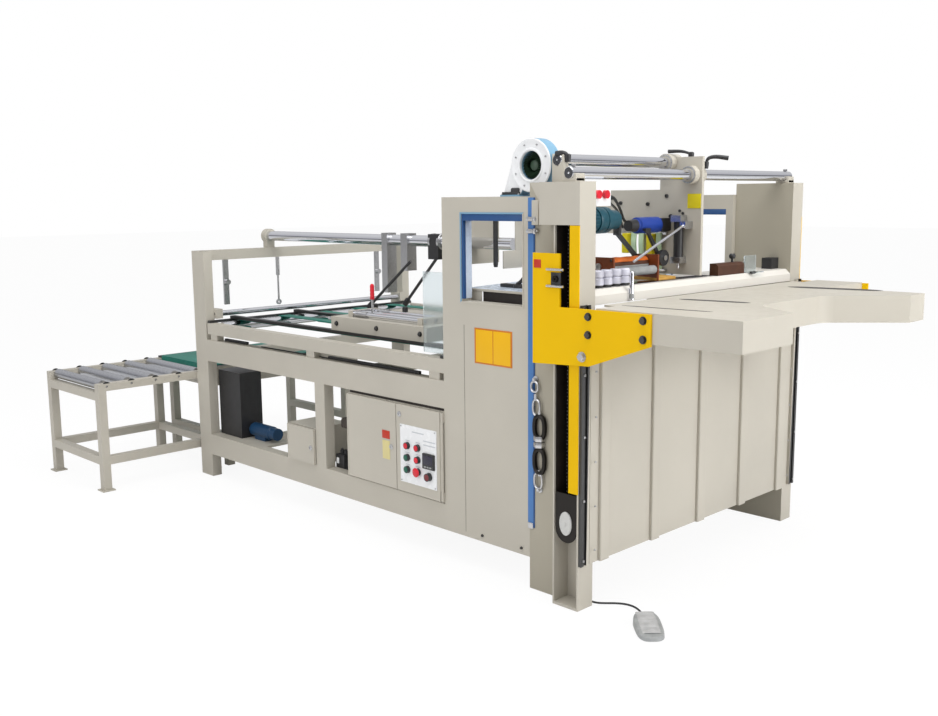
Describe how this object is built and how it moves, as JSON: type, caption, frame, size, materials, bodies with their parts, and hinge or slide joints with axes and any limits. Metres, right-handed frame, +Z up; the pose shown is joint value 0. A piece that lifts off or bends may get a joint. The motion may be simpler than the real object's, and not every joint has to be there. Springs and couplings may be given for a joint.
{
  "type": "semi-automatic carton folding and gluing machine",
  "caption": "Carton gluing machine with a lifting feed table, folding head over a belt bed, press carriage, control cabinet, foot switch and a roller stand at its outfeed.",
  "frame": {"origin": "middle of the sole of the left feed-end column, on the floor", "axes": "+Z up, +X from the machine towards the operator's feed table, +Y from the control cabinet side to the far side"},
  "size_m": [3.839, 1.959, 1.602],
  "materials": {
    "beige_paint": "satin",
    "yellow_paint": "satin",
    "blue_paint": "satin",
    "white_sheet": "gloss",
    "panel_white": "gloss",
    "chrome": "polished",
    "dark_steel": "dull",
    "bright_steel": "brushed",
    "green_belt": "matt",
    "blue_motor": "satin",
    "black_rubber": "matt",
    "grey_cast": "painted",
    "teal_paint": "satin",
    "clear_sheet": "smoked",
    "black_plastic": "matt",
    "pad_brown": "matt",
    "roller_grey": "satin"
  },
  "bodies": {
    "machine": {"base_beams": "beige_paint", "bed_belts": "green_belt", "bed_rails": "beige_paint", "bed_rollers": "chrome", "bed_slides": "dark_steel", "blower": "blue_paint", "chain_wheels": "bright_steel", "clear_cover": "clear_sheet", "control_cabinet": "beige_paint", "cord_gland": "black_plastic", "cross_members": "beige_paint", "drive_motor": "black_plastic", "feed_deck": "white_sheet", "folding_arm": "dark_steel", "folding_motor": "teal_paint", "foot_switch": "grey_cast", "foot_switch_cord": "black_rubber", "gantry_bar": "beige_paint", "glue_rollers": "pad_brown", "guide_brackets": "beige_paint", "guide_rails": "dark_steel", "guide_shaft": "chrome", "head_shafts": "chrome", "junction_box": "beige_paint", "left_column": "beige_paint", "left_side_frame": "beige_paint", "lift_chains": "dark_steel", "mid_posts": "beige_paint", "outfeed_belt": "green_belt", "outfeed_conveyor": "beige_paint", "outfeed_posts": "beige_paint", "press_carriage": "beige_paint", "press_levers": "bright_steel", "ribbed_guard": "beige_paint", "right_column": "beige_paint", "right_side_frame": "beige_paint", "roller_stand": "beige_paint", "shaft_blocks": "beige_paint", "side_guide": "pad_brown", "slot_covers": "yellow_paint", "stop_box": "panel_white", "suction_bellows": "panel_white", "upper_beams": "beige_paint", "window_trims": "blue_paint"},
    "lift_table": {"left_carriage": "yellow_paint", "right_carriage": "yellow_paint", "feed_table": "beige_paint"},
    "cabinet_door": {"cabinet_door": "beige_paint"},
    "control_door": {"control_door": "beige_paint", "control_panel": "panel_white"},
    "junction_door": {"junction_door": "beige_paint"},
    "middle_head": {"middle_plate": "beige_paint", "belt_drive": "blue_motor", "air_cylinder": "bright_steel"},
    "stand_roller_1": {"stand_roller_1": "roller_grey"},
    "stand_roller_2": {"stand_roller_2": "roller_grey"},
    "stand_roller_3": {"stand_roller_3": "roller_grey"},
    "stand_roller_4": {"stand_roller_4": "roller_grey"},
    "stand_roller_5": {"stand_roller_5": "roller_grey"}
  },
  "joints": [
    {"name": "table_lift", "type": "slide", "parent": "machine", "child": "lift_table", "axis": [0, 0, 1], "range_m": [-0.4, 0.06]},
    {"name": "cabinet_door_hinge", "type": "hinge", "parent": "machine", "child": "cabinet_door", "pos_m": [-1.248, 0.006, 0.4], "axis": [0, 0, 1], "range_deg": [-110, 0]},
    {"name": "control_door_hinge", "type": "hinge", "parent": "machine", "child": "control_door", "pos_m": [-0.6603, 0.006, 0.4], "axis": [0, 0, 1], "range_deg": [0, 110]},
    {"name": "junction_door_hinge", "type": "hinge", "parent": "machine", "child": "junction_door", "pos_m": [-1.698, 0.006, 0.305], "axis": [0, 0, 1], "range_deg": [-110, 0]},
    {"name": "middle_head_slide", "type": "slide", "parent": "machine", "child": "middle_head", "axis": [0, 1, 0], "range_m": [-0.05, 0.05]},
    {"name": "roller_spin_1", "type": "hinge", "parent": "machine", "child": "stand_roller_1", "pos_m": [-2.827, -0.464, 0.516], "axis": [1, 0, 0], "continuous": true},
    {"name": "roller_spin_2", "type": "hinge", "parent": "machine", "child": "stand_roller_2", "pos_m": [-2.827, -0.336, 0.516], "axis": [1, 0, 0], "continuous": true},
    {"name": "roller_spin_3", "type": "hinge", "parent": "machine", "child": "stand_roller_3", "pos_m": [-2.827, -0.208, 0.516], "axis": [1, 0, 0], "continuous": true},
    {"name": "roller_spin_4", "type": "hinge", "parent": "machine", "child": "stand_roller_4", "pos_m": [-2.827, -0.08, 0.516], "axis": [1, 0, 0], "continuous": true},
    {"name": "roller_spin_5", "type": "hinge", "parent": "machine", "child": "stand_roller_5", "pos_m": [-2.827, 0.048, 0.516], "axis": [1, 0, 0], "continuous": true}
  ]
}
